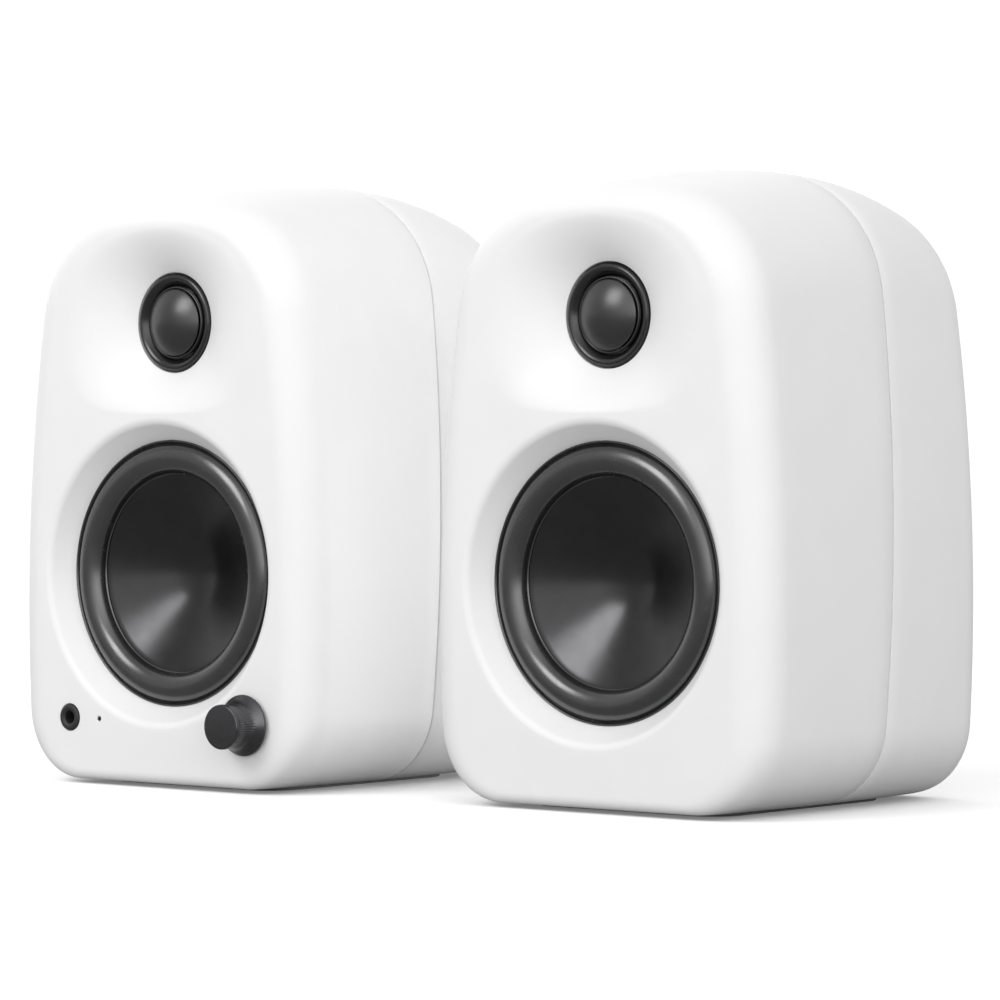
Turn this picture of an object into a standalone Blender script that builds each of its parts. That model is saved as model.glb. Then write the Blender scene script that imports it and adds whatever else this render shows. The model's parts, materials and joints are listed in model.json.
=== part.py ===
"""Pair of compact desktop speakers: an active cabinet with controls and a passive one.

Metres, +Z up, drivers facing -Y. The origin is on the desk, under the middle of the pair.
Lengths in the constants and profiles are millimetres and MM turns them into metres.
"""
import math

import bmesh
import bpy
import numpy as np

MM = 0.001

# Cabinet form, measured from the front face (y = 0) and the underside (z = 0)
HALF_WIDTH = 58.9            # at the seam, where the body is widest
HEIGHT = 169.9               # at the seam
SEAM_Y = 54.0                # seam behind the front face, at the woofer's height
DEPTH = 105.0
FRONT_NARROWING = (2.7, 6.8)     # half width and height given up from seam to front
REAR_NARROWING = (3.0, 10.7)     # the same from seam to back
FRONT_ROLL = 10.5            # radius of the edge round the front face
REAR_ROLL = 13.5
SIDE_RADIUS = 570.0          # the sides bow out this gently
CROWN_RADIUS = 120.0
WIDEST_Z = 49.9
LOW_CORNER = 22.0
HIGH_CORNER = (34.9, 38.5, 31.7)     # at the front, seam and back
UNDERSIDE_ROLL = 0.06        # share of the edge roll that the flat underside takes
CROWN_ROLL = 0.6             # share of the front edge roll that the crown takes
SEAM_LEAN = 0.058            # the seam leans back as it rises
WALL = 3.0
BAFFLE = 12.0
BACK_WALL = 4.5
SEAM_GAP = 0.4

# Placing on the desk
PAD_HEIGHT = 1.0
LIFT = 1.3                   # underside above the desk
SPACING = 146.3              # between the two cabinets' middles
STAGGER = 11.2               # the active cabinet stands this much further forward
FRONT_FACE_Y = -49.55        # mean of the two front faces

# Drivers: axis height above the underside, and the depth of each ring's front plane
WOOFER_Z = 59.1
TWEETER_Z = WOOFER_Z + 70.6
WOOFER_DEPTH = 6.4
TWEETER_DEPTH = 7.7
WOOFER_SEAT = 38.0
FLARE = (3.0, 44.1)          # softening radius of the woofer's flare, and where it meets the face
FLARE_ANGLE = 0.66           # lean of the flare away from the axis, in radians
TWEETER_SEAT = 14.3
TILT = 0.24                  # the surround's roll leans in towards the cone, in radians
WAVEGUIDE_WIDTH = 35.5       # radius of the waveguide to the sides
WAVEGUIDE_LIMITS = (29.9, 25.8)      # flats that cut it off above and below

# Controls, low on the active front face
KNOB = (34.4, 18.0)
KNOB_PRESS = 0.6             # travel of the knob's push switch
JACK = (-34.0, 17.5)
LIGHT = (-22.4, 17.5)

# Back
PORT_Z = 124.0
PORT_LENGTH = 45.0
PANEL = (37.2, 14.0, 99.0)   # active panel: half width, bottom and top
PLATE = (24.0, 24.0, 76.0)   # passive terminal plate
PANEL_THICK = 2.0
CLIP_SPACING = 14.0
GAP = 0.3


def clear_scene():
    for old in list(bpy.data.objects):
        bpy.data.objects.remove(old, do_unlink=True)


def new_collection(name):
    made = bpy.data.collections.new(name)
    bpy.context.scene.collection.children.link(made)
    return made


clear_scene()
PARTS = new_collection("desktop_speakers")
CUTTERS = new_collection("cutters")
CUTTERS.hide_render = True


def finish(name, colour, roughness, metallic=0.0):
    made = bpy.data.materials.new(name)
    made.use_nodes = True
    shader = made.node_tree.nodes["Principled BSDF"]
    shader.inputs["Base Color"].default_value = (*colour, 1.0)
    shader.inputs["Roughness"].default_value = roughness
    shader.inputs["Metallic"].default_value = metallic
    return made


WHITE_ABS = ("white_abs", (0.85, 0.85, 0.85), 0.5)
BLACK_ABS = ("black_abs", (0.03, 0.03, 0.032), 0.45)
RUBBER = ("rubber", (0.04, 0.04, 0.042), 0.5)
CONE_PULP = ("coated_cone", (0.035, 0.035, 0.037), 0.4)
SILK = ("coated_silk", (0.05, 0.05, 0.052), 0.35)
STEEL = ("plated_steel", (0.55, 0.55, 0.57), 0.35, 1.0)
FERRITE = ("ferrite", (0.08, 0.08, 0.085), 0.6)
COPPER = ("copper_wire", (0.72, 0.36, 0.2), 0.35, 1.0)
COTTON = ("treated_cotton", (0.6, 0.45, 0.2), 0.8)
NICKEL = ("nickel_plate", (0.7, 0.68, 0.64), 0.25, 1.0)
ALUMINIUM = ("black_aluminium", (0.06, 0.06, 0.065), 0.4, 1.0)
BOARD = ("circuit_board", (0.02, 0.12, 0.05), 0.5)
CLEAR = ("clear_acrylic", (0.8, 0.85, 0.85), 0.1)
RED_ABS = ("red_abs", (0.5, 0.03, 0.03), 0.4)


def place(obj, stand, at, look, turn=(0.0, 0.0, 0.0)):
    """Parent obj to its cabinet's empty at a point in cabinet millimetres and paint it."""
    obj.parent = stand
    obj.location = [c * MM for c in at]
    obj.rotation_euler = turn
    if look is None:
        CUTTERS.objects.link(obj)
        obj.hide_render = True
        obj.display_type = "WIRE"
        return obj
    PARTS.objects.link(obj)
    obj.data.materials.append(finish(obj.name, *look[1:]))
    return obj


def object_from(name, bm):
    bmesh.ops.recalc_face_normals(bm, faces=bm.faces)
    mesh = bpy.data.meshes.new(name)
    bm.to_mesh(mesh)
    bm.free()
    return bpy.data.objects.new(name, mesh)


FRONTWARD = (math.pi / 2, 0.0, 0.0)      # local +Z comes out of the front face
REARWARD = (-math.pi / 2, 0.0, 0.0)      # local +Z comes out of the back


def turned(name, stand, at, profile, look, steps=20, facing=FRONTWARD):
    """A turned piece: (radius, height) points down its outer side, spun about local Z."""
    points = [(r * MM, 0.0, h * MM) for r, h in profile]
    count = len(points)
    edges = [(i, i + 1) for i in range(count - 1)]
    if profile[0][0] > 0:
        edges.append((count - 1, 0))
    mesh = bpy.data.meshes.new(name)
    mesh.from_pydata(points, edges, [])
    obj = place(bpy.data.objects.new(name, mesh), stand, at, look, facing)
    spin = obj.modifiers.new("spin", "SCREW")
    spin.steps = steps
    spin.render_steps = steps
    spin.use_merge_vertices = True
    spin.merge_threshold = 0.00001
    spin.use_smooth_shade = True
    return obj


def disc_ring(inner, outer, low, high):
    """Profile of a flat ring."""
    return [(outer, high), (outer, low), (inner, low), (inner, high)]


def drum(radius, low, high):
    """Profile of a plain cylinder."""
    return [(0, high), (radius, high), (radius, low), (0, low)]


def block(name, stand, low, high, look, bevel=0.0):
    """A box between two corners in cabinet millimetres, with its upright edges rounded."""
    bm = bmesh.new()
    bmesh.ops.create_cube(bm, size=1.0)
    size = [(b - a) * MM for a, b in zip(low, high)]
    bmesh.ops.scale(bm, vec=size, verts=bm.verts)
    if bevel:
        along = [e for e in bm.edges if abs(e.verts[0].co.y - e.verts[1].co.y) > 0.5 * size[1]]
        bmesh.ops.bevel(bm, geom=along, offset=bevel * MM, segments=3, affect="EDGES", profile=0.5)
    middle = [(a + b) / 2 for a, b in zip(low, high)]
    return place(object_from(name, bm), stand, middle, look)


def swept(name, stand, at, corners, along, look):
    """A flat outline pushed straight along a vector, all in millimetres."""
    bm = bmesh.new()
    face = bm.faces.new([bm.verts.new([c * MM for c in corner]) for corner in corners])
    moved = bmesh.ops.extrude_face_region(bm, geom=[face])["geom"]
    tops = [v for v in moved if isinstance(v, bmesh.types.BMVert)]
    bmesh.ops.translate(bm, vec=[c * MM for c in along], verts=tops)
    return place(object_from(name, bm), stand, at, look)


def combine(obj, other, operation="DIFFERENCE"):
    cut = obj.modifiers.new(operation.lower(), "BOOLEAN")
    cut.operation = operation
    cut.object = other
    cut.solver = "EXACT"


def arc(centre, radius, start, end, steps):
    """Points on an arc from one angle to another, both ends in."""
    angles = np.linspace(start, end, steps + 1)
    return [(centre[0] + radius * math.cos(a), centre[1] + radius * math.sin(a)) for a in angles]


def half_outline(half_width, top, low_corner, high_corner, floor):
    """Right half of a cabinet section, from the underside up to the crown's middle."""
    side = np.array([half_width - SIDE_RADIUS, WIDEST_Z])
    crown = np.array([0.0, top - CROWN_RADIUS])
    low_z = floor + low_corner
    reach = SIDE_RADIUS - low_corner
    low = np.array([side[0] + math.sqrt(reach ** 2 - (low_z - WIDEST_Z) ** 2), low_z])
    to_side = SIDE_RADIUS - high_corner
    to_crown = CROWN_RADIUS - high_corner
    span = crown - side
    length = np.hypot(*span)
    along = (to_side ** 2 - to_crown ** 2 + length ** 2) / (2 * length)
    across = math.sqrt(to_side ** 2 - along ** 2)
    unit = span / length
    high = side + unit * along + np.array([unit[1], -unit[0]]) * across
    if high[1] < side[1]:
        high = side + unit * along - np.array([unit[1], -unit[0]]) * across
    low_end = math.atan2(*(low - side)[::-1])
    side_end = math.atan2(*(high - side)[::-1])
    crown_start = math.atan2(*(high - crown)[::-1])
    points = arc(low, low_corner, -math.pi / 2, low_end, 4)
    points += arc(side, SIDE_RADIUS, low_end, 0.0, 1)[1:]
    points += arc(side, SIDE_RADIUS, 0.0, side_end, 2)[1:]
    points += arc(high, high_corner, side_end, crown_start, 5)[1:]
    points += arc(crown, CROWN_RADIUS, crown_start, math.pi / 2, 2)[1:]
    return points


def between(y, front, seam, back):
    """A value that runs straight from front to seam and from seam to back."""
    return float(np.interp(y, (0.0, SEAM_Y, DEPTH), (front, seam, back)))


def section(y, inset=0.0, shift=0.0):
    """Closed ring of the body at depth y, pulled in by the edge rolls and by inset."""
    if y < SEAM_Y:
        share = ((SEAM_Y - y) / SEAM_Y) ** 1.6
        narrowing = FRONT_NARROWING
    else:
        share = ((y - SEAM_Y) / (DEPTH - SEAM_Y)) ** 2
        narrowing = REAR_NARROWING
    roll = 0.0
    crown_share = 1.0
    if inset == 0 and y < FRONT_ROLL:
        roll = FRONT_ROLL - math.sqrt(FRONT_ROLL ** 2 - (FRONT_ROLL - y) ** 2)
        crown_share = CROWN_ROLL
    over = y - (DEPTH - REAR_ROLL)
    if inset == 0 and over > 0:
        roll = REAR_ROLL - math.sqrt(max(REAR_ROLL ** 2 - over ** 2, 0.0))
    pull = roll + inset
    floor = UNDERSIDE_ROLL * roll + inset
    high_corner = between(y, *HIGH_CORNER)
    top = HEIGHT - narrowing[1] * share - crown_share * roll - inset
    half = half_outline(HALF_WIDTH - narrowing[0] * share - pull, top,
                        LOW_CORNER - 0.6 * pull, high_corner - 0.6 * pull, floor)
    ring = half + [(-x, z) for x, z in half[-2::-1]]
    lean = between(y, 0.0, SEAM_LEAN, 0.0)
    return [(x, y + shift + lean * (z - WOOFER_Z), z) for x, z in ring]


def loft(name, stand, rings, look):
    """Skin a row of matching rings and cap both ends."""
    bm = bmesh.new()
    rows = [[bm.verts.new([c * MM for c in p]) for p in ring] for ring in rings]
    for row, after in zip(rows, rows[1:]):
        for i in range(len(row)):
            j = (i + 1) % len(row)
            bm.faces.new((row[i], row[j], after[j], after[i]))
    bm.faces.new(rows[0])
    bm.faces.new(rows[-1])
    return place(object_from(name, bm), stand, (0, 0, 0), look)


def rolled(radius, count):
    """Depths across an edge roll, closer together where it turns away."""
    return [radius * (1 - math.cos(a)) for a in np.linspace(0, math.pi / 2, count + 1)]


def woofer_recess(side, stand):
    """Softened flare in to the woofer's seat, the rebate and the hole through the baffle."""
    seat = WOOFER_DEPTH + 1.9
    radius, mouth = FLARE
    edge = [(r, -y) for r, y in arc((mouth, radius), radius, -math.pi / 2, -math.pi + FLARE_ANGLE, 2)]
    profile = [(0, 2), (mouth, 2)] + edge + [(WOOFER_SEAT, -WOOFER_DEPTH), (WOOFER_SEAT, -seat)]
    profile += [(35.2, -seat), (35.2, -BAFFLE - 2), (0, -BAFFLE - 2)]
    return turned(side + "cut_woofer", stand, (0, 0, WOOFER_Z), profile, None, 20)


def waveguide_edge(angle):
    """Outer radius of the waveguide in a direction: a round form cut off softly above and below."""
    up = math.sin(angle)
    wide = WAVEGUIDE_WIDTH - 2.5 * up
    limit, power = (WAVEGUIDE_LIMITS[0], 4) if up > 0 else (WAVEGUIDE_LIMITS[1], 8)
    return (wide ** -power + (abs(up) / limit) ** power) ** (-1 / power)


def waveguide(side, stand):
    """Scoop from the front face in to the tweeter's ring."""
    def ring(share, y):
        points = []
        for angle in np.linspace(0, 2 * math.pi, 24, endpoint=False):
            radius = TWEETER_SEAT + share * (waveguide_edge(angle) - TWEETER_SEAT)
            points.append((radius * math.cos(angle), y, TWEETER_Z + radius * math.sin(angle)))
        return points
    rings = [ring(1.0, -2.0)] + [ring(t, TWEETER_DEPTH * (1 - t) ** 1.5) for t in (1.0, 0.6, 0.3, 0.0)]
    return loft(side + "cut_waveguide", stand, rings, None)


def tweeter_recess(side, stand):
    """The faceplate's rebate and the hole through the baffle."""
    seat = TWEETER_DEPTH + 1.5
    profile = [(0, 2), (TWEETER_SEAT, 2), (TWEETER_SEAT, -seat), (11.6, -seat),
               (11.6, -BAFFLE - 2), (0, -BAFFLE - 2)]
    return turned(side + "cut_tweeter", stand, (0, 0, TWEETER_Z), profile, None, 20)


def bore(name, stand, x, z, radius, depths, steps=16, facing=FRONTWARD):
    """A straight round cutter along Y between two depths."""
    profile = drum(radius, -depths[1], -depths[0])
    return turned(name, stand, (x, 0, z), profile, None, steps, facing)


def front_shell(side, stand, controls):
    depths = rolled(FRONT_ROLL, 3) + [32.0, SEAM_Y]
    shell = loft(side + "front_shell", stand, [section(y) for y in depths], WHITE_ABS)
    hollow = [section(BAFFLE, WALL + 1.5), section(32.0, WALL), section(SEAM_Y, WALL),
              section(SEAM_Y, WALL, 3.0)]
    combine(shell, loft(side + "cut_front_hollow", stand, hollow, None))
    combine(shell, woofer_recess(side, stand))
    combine(shell, waveguide(side, stand))
    combine(shell, tweeter_recess(side, stand))
    if controls:
        through = (-2, BAFFLE + 2)
        combine(shell, bore("cut_encoder", stand, *KNOB, 4.8, through))
        combine(shell, bore("cut_jack", stand, *JACK, 4.0, through))
        combine(shell, bore("cut_light", stand, *LIGHT, 0.8, through, 10))
    return shell


def rear_shell(side, stand, plate, screws):
    start = SEAM_Y + SEAM_GAP
    roll = [DEPTH - d for d in reversed(rolled(REAR_ROLL, 3))]
    shell = loft(side + "rear_shell", stand, [section(y) for y in [start, 74.0] + roll], WHITE_ABS)
    end = DEPTH - BACK_WALL
    hollow = [section(start, WALL, -3.0), section(start, WALL), section(80.0, WALL),
              section(end, WALL + 8.0)]
    combine(shell, loft(side + "cut_rear_hollow", stand, hollow, None))
    half, low, high = plate
    rebate = block(side + "cut_rebate", stand, (-half - GAP, DEPTH - PANEL_THICK - GAP, low - GAP),
                   (half + GAP, DEPTH + 5, high + GAP), None, 5.0 + GAP)
    window = block(side + "cut_window", stand, (-half + 7, end - 5, low + 7),
                   (half - 7, DEPTH + 5, high - 7), None)
    port = turned(side + "cut_port", stand, (0, DEPTH, PORT_Z),
                  [(0, 5), (15.3, 5), (15.3, -1.8), (12.8, -1.8), (12.8, -9), (0, -9)], None, 16, REARWARD)
    for cutter in (rebate, window, port):
        combine(shell, cutter)
    for index, (x, z) in enumerate(screws):
        combine(shell, bore(side + "cut_pilot_%d" % index, stand, x, z, 1.6, (end - 5, DEPTH + 5), 8))
    return shell


def foot_pad(side, stand):
    low = (-33.0, 13.0, -LIFT)
    high = (33.0, 90.0, PAD_HEIGHT - LIFT)
    return block(side + "foot_pad", stand, low, high, RUBBER)


def woofer(side, stand):
    """Woofer on its axis: heights are forward of the ring's plane."""
    at = (0, WOOFER_DEPTH, WOOFER_Z)
    basket = [(37.7, -0.3), (37.7, -1.6), (34.9, -1.6), (34.9, -7.0), (25.0, -22.0), (25.0, -28.5),
              (14.5, -28.5), (14.5, -27.3), (23.8, -27.3), (23.8, -22.4), (33.7, -7.4), (33.7, -3.0),
              (35.6, -0.9)]
    turned(side + "woofer_basket", stand, at, basket, STEEL, 20)
    roll = arc((32.3, -0.9), 3.7, TILT, math.pi + TILT, 5)
    under = arc((32.3, -1.0), 3.1, math.pi + TILT, TILT, 4)
    surround = [(37.4, 0.6), (37.4, 0.0)] + under[::-1] + [(27.8, -2.0), (27.8, -1.4)] + roll[::-1]
    turned(side + "woofer_surround", stand, at, surround, RUBBER, 20)
    cone = [(0, -12.0), (4.0, -11.8), (9.0, -10.6), (27.7, -2.3), (29.1, -2.3), (29.1, -2.9), (28.0, -3.1),
            (9.2, -11.4), (4.0, -12.6), (0, -12.8)]
    turned(side + "woofer_cone", stand, at, cone, CONE_PULP, 20)
    turned(side + "voice_coil", stand, at, disc_ring(12.2, 13.0, -33.0, -10.9), COPPER, 16)
    spider = [(24.2, -20.3), (24.2, -20.9), (19.0, -21.9), (13.4, -20.9), (13.4, -20.2), (19.0, -21.1)]
    turned(side + "spider", stand, at, spider, COTTON, 16)
    turned(side + "top_plate", stand, at, disc_ring(13.7, 27.0, -33.0, -28.8), STEEL, 16)
    turned(side + "magnet", stand, at, disc_ring(16.0, 29.0, -42.3, -33.3), FERRITE, 16)
    yoke = [(0, -28.8), (11.8, -28.8), (11.8, -42.6), (28.0, -42.6), (28.0, -46.6), (0, -46.6)]
    turned(side + "pole_yoke", stand, at, yoke, STEEL, 16)


def tweeter(side, stand):
    """Tweeter on its axis: heights are forward of the ring's plane."""
    at = (0, TWEETER_DEPTH, TWEETER_Z)
    face = [(12.4, 0.7), (13.5, 0.3), (14.0, -0.4), (14.0, -1.2), (11.3, -1.2), (11.3, -5.5), (10.4, -5.5),
            (10.4, -0.6), (11.2, 0.3)]
    turned(side + "tweeter_faceplate", stand, at, face, BLACK_ABS, 20)
    suspension = [(10.1, -0.4), (10.1, -1.0), (9.25, -1.0), (9.25, 0.1), (9.7, 0.3)]
    turned(side + "tweeter_suspension", stand, at, suspension, SILK, 16)
    cap = arc((0, -12.7), 16.0, math.pi / 2, math.radians(56.2), 4)
    inside = arc((0, -12.7), 15.5, math.radians(58.5), math.pi / 2, 3)
    dome = [(r, h) for r, h in cap] + [(8.5, -5.6), (8.1, -5.6)] + inside
    dome[0] = (0, dome[0][1])
    dome[-1] = (0, dome[-1][1])
    turned(side + "tweeter_dome", stand, at, dome, SILK, 16)
    motor = [(0, -3.2), (7.6, -3.2), (7.6, -6.6), (9.0, -6.6), (9.0, -5.9), (15.0, -5.9), (15.0, -18.0),
             (0, -18.0)]
    turned(side + "tweeter_motor", stand, at, motor, STEEL, 16)


def port_tube(side, stand):
    profile = [(15.0, 0.0), (15.0, -1.5), (12.4, -1.5), (12.4, -PORT_LENGTH), (11.2, -PORT_LENGTH),
               (11.2, -6.0), (12.2, -2.0), (13.8, 0.0)]
    turned(side + "port_tube", stand, (0, DEPTH, PORT_Z), profile, BLACK_ABS, 16, REARWARD)


def volume_control(stand):
    """Knob, shaft, push plunger and the encoder that they work."""
    x, z = KNOB
    foot = KNOB_PRESS + GAP
    knob = [(0, 10.5), (5.9, 10.5), (6.2, 10.2), (6.2, 9.2), (5.6, 8.6), (5.75, 6.4), (6.6, 3.6),
            (8.4, foot + 0.8), (8.55, foot + 0.5), (8.55, foot + 0.2), (8.3, foot), (3.35, foot),
            (3.35, 7.6), (0, 7.6)]
    turned("volume_knob", stand, (x, 0, z), knob, BLACK_ABS, 20)
    turned("encoder_shaft", stand, (x, 0, z), drum(3.0, -17.5, 7.3), NICKEL, 16)
    turned("encoder_plunger", stand, (x, 0, z), drum(2.4, -21.2, -17.8), BLACK_ABS, 16)
    housing = block("encoder_body", stand, (x - 6.5, BAFFLE + GAP, z - 6.2), (x + 6.5, 19.5, z + 6.2), NICKEL)
    neck = turned("cut_encoder_neck", stand, (x, 0, z), drum(4.4, -13.0, -5.0), None, 12)
    combine(housing, neck, "UNION")
    combine(housing, bore("cut_encoder_bore", stand, x, z, 3.4, (0, 25), 12))


def headphone_jack(stand):
    profile = [(0, -15.0), (1.8, -15.0), (1.8, 0.2), (2.1, 0.5), (3.3, 0.5), (3.7, 0.2), (3.7, -12.0),
               (4.6, -12.3), (4.6, -21.5), (0, -21.5)]
    turned("headphone_jack", stand, (JACK[0], 0, JACK[1]), profile, BLACK_ABS, 16)
    turned("status_light", stand, (LIGHT[0], 0, LIGHT[1]), drum(0.5, -21.5, -0.1), CLEAR, 10)
    block("control_board", stand, (-42.0, 22.0, 11.0), (42.0, 23.6, 25.5), BOARD)


SCREW_POINTS = [(x, z) for x in (-33.0, 33.0) for z in (PANEL[1] + 4.2, PANEL[2] - 4.2)]
RCA_SOCKETS = (("rca_left", -22.0), ("rca_right", -8.0), ("rca_sub_out", 6.0))
SOCKET_Z = 82.0
USB_X = 21.0
POWER = (-19.0, 38.0)
CLIPS = (12.0, 38.0)


def panel_plate(name, stand, plate, holes):
    half, low, high = plate
    made = block(name, stand, (-half, DEPTH - PANEL_THICK, low), (half, DEPTH, high), BLACK_ABS, 5.0)
    for hole in holes:
        combine(made, hole)
    return made


def clip_window(side, stand, centre):
    x, z = centre
    return block(side + "cut_clip_window", stand, (x - 17.3, DEPTH - 5, z - 11.3),
                 (x + 17.3, DEPTH + 5, z + 11.3), None)


def rear_panel(stand):
    """Active cabinet's connector panel, its four screws and the sockets in it."""
    reach = (DEPTH - 5, DEPTH + 5)
    holes = [bore("cut_" + name, stand, x, SOCKET_Z, 4.5, reach, 12) for name, x in RCA_SOCKETS]
    holes.append(block("cut_usb_c", stand, (USB_X - 4.9, reach[0], SOCKET_Z - 2.1),
                       (USB_X + 4.9, reach[1], SOCKET_Z + 2.1), None, 2.0))
    holes.append(bore("cut_power", stand, POWER[0], POWER[1], 5.3, reach, 16))
    holes.append(clip_window("active_", stand, CLIPS))
    for index, (x, z) in enumerate(SCREW_POINTS):
        holes.append(bore("cut_screw_%d" % index, stand, x, z, 1.7, reach, 8))
        screw = [(0, 1.5), (1.8, 1.4), (2.8, 0.8), (2.8, GAP), (1.3, GAP), (1.3, -6.0), (0, -6.0)]
        turned("panel_screw_%d" % (index + 1), stand, (x, DEPTH, z), screw, STEEL, 8, REARWARD)
    panel_plate("active_rear_panel", stand, PANEL, holes)


def sockets(stand):
    barrel = [(0, 1.0), (1.6, 1.0), (1.6, 7.4), (3.1, 7.4), (3.1, 8.0), (4.15, 8.0), (4.15, 1.8), (6.0, 1.8),
              (6.0, GAP), (4.15, GAP), (4.15, -16.5), (0, -16.5)]
    for name, x in RCA_SOCKETS:
        turned(name, stand, (x, DEPTH, SOCKET_Z), barrel, NICKEL, 12, REARWARD)
    power = [(0, -1.5), (1.0, -1.5), (1.0, -9.5), (3.1, -9.5), (3.1, 0.3), (3.4, 0.6), (5.0, 0.6),
             (5.0, -16.5), (0, -16.5)]
    turned("dc_inlet", stand, (POWER[0], DEPTH, POWER[1]), power, BLACK_ABS, 16, REARWARD)
    usb = block("usb_c_socket", stand, (USB_X - 4.5, DEPTH - 16.5, SOCKET_Z - 1.7),
                (USB_X + 4.5, DEPTH + 0.2, SOCKET_Z + 1.7), NICKEL, 1.5)
    combine(usb, block("cut_usb_mouth", stand, (USB_X - 4.1, DEPTH - 7.0, SOCKET_Z - 1.3),
                       (USB_X + 4.1, DEPTH + 2.0, SOCKET_Z + 1.3), None, 1.2))


def clip_terminal(side, stand, centre):
    """Spring-clip terminal: a block with two pockets and a lever hinged in each."""
    x, z = centre
    made = block(side + "terminal_block", stand, (x - 17, DEPTH - 9.0, z - 11), (x + 17, DEPTH + 2.0, z + 11),
                 BLACK_ABS)
    for name, sign, look in (("positive", -1, RED_ABS), ("negative", 1, BLACK_ABS)):
        middle = x + sign * CLIP_SPACING / 2
        pocket = block(side + "cut_pocket_" + name, stand, (middle - 4.9, DEPTH - 7.0, z - 3.0),
                       (middle + 4.9, DEPTH + 5.0, z + 8.6), None)
        combine(made, pocket)
        wire = bore(side + "cut_wire_" + name, stand, middle, z - 6.6, 1.5, (DEPTH - 7, DEPTH + 5), 12)
        combine(made, wire)
        clip_lever(side + "clip_lever_" + name, stand, (middle, DEPTH, z + 6.0), look)


def clip_lever(name, stand, pivot, look):
    """Lever whose origin is on its hinge pin; the finger tab hangs below it."""
    outline = [(-1.6, 1.6), (-1.6, -6.5), (1.0, -7.5), (4.0, -7.5), (4.6, -6.4), (2.6, 0.0), (1.6, 1.6)]
    half = 4.2
    return swept(name, stand, pivot, [(-half, y, h) for y, h in outline], (2 * half, 0, 0), look)


def heat_sink(stand):
    """Extruded comb that stands on the amplifier board, fins forward."""
    pitch, fin, base, tall = 7.0, 2.0, 3.0, 12.0
    outline = [(-22.0, 0.0)]
    for index in range(7):
        left = -22.0 + index * pitch
        outline += [(left, tall), (left + fin, tall)]
        if index < 6:
            outline += [(left + fin, base), (left + pitch, base)]
    outline += [(22.0, 0.0)]
    corners = [(x, -y, 0.0) for x, y in outline]
    return swept("heat_sink", stand, (0, 85.7, 34), corners, (0, 0, 36.0), ALUMINIUM)


def amplifier(stand):
    block("amplifier_board", stand, (-31.0, 86.0, 20.0), (31.0, 87.6, 93.0), BOARD)
    heat_sink(stand)


def crossover(stand):
    block("crossover_board", stand, (-22.0, 86.0, 26.0), (22.0, 87.6, 74.0), BOARD)
    turned("crossover_coil", stand, (-6.0, 85.7, 58.0), disc_ring(6.0, 11.0, 0.0, 10.0), COPPER, 16)


def cabinet(side, stand, controls, plate, screws):
    front_shell(side, stand, controls)
    rear_shell(side, stand, plate, screws)
    foot_pad(side, stand)
    woofer(side, stand)
    tweeter(side, stand)
    port_tube(side, stand)


def stand_at(name, x, y):
    """Empty under the middle of a cabinet's front face that places the whole cabinet."""
    made = bpy.data.objects.new(name, None)
    made.location = (x * MM, y * MM, LIFT * MM)
    PARTS.objects.link(made)
    return made


ACTIVE = stand_at("active_speaker", -SPACING / 2, FRONT_FACE_Y - STAGGER / 2)
PASSIVE = stand_at("passive_speaker", SPACING / 2, FRONT_FACE_Y + STAGGER / 2)
PLATE_CLIPS = (0.0, 50.0)

cabinet("active_", ACTIVE, True, PANEL, SCREW_POINTS)
volume_control(ACTIVE)
headphone_jack(ACTIVE)
rear_panel(ACTIVE)
sockets(ACTIVE)
clip_terminal("active_", ACTIVE, CLIPS)
amplifier(ACTIVE)

cabinet("passive_", PASSIVE, False, PLATE, [])
panel_plate("passive_terminal_plate", PASSIVE, PLATE, [clip_window("passive_", PASSIVE, PLATE_CLIPS)])
clip_terminal("passive_", PASSIVE, PLATE_CLIPS)
crossover(PASSIVE)
bpy.context.view_layer.update()
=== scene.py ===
import json
import math

import bmesh
import bpy
import numpy as np
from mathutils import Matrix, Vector

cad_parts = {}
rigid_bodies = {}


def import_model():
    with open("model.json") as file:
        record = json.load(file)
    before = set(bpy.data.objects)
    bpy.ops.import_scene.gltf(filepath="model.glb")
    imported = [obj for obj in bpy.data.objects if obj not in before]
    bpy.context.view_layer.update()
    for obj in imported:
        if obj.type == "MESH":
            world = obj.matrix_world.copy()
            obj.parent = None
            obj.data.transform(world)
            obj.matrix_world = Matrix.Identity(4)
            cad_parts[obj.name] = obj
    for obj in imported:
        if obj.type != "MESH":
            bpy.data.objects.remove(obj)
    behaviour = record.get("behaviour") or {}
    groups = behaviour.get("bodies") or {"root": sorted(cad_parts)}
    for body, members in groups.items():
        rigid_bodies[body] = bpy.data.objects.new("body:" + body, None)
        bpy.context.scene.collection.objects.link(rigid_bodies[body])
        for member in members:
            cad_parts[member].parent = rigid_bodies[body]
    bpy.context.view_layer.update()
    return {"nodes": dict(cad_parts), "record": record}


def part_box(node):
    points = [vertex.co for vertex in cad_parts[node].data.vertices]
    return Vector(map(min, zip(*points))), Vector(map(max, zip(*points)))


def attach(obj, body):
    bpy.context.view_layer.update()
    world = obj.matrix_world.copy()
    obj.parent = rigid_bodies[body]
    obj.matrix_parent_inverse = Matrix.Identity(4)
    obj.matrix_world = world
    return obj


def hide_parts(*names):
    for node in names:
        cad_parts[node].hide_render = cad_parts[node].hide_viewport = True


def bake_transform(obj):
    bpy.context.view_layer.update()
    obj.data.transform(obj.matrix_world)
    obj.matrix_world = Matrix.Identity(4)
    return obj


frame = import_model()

# Lengths are millimetres, in each cabinet's own frame: x to the right, y back from the front
# face, z up from the underside. MM turns them into metres.
MM = 0.001
TAU = 2 * math.pi

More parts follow.
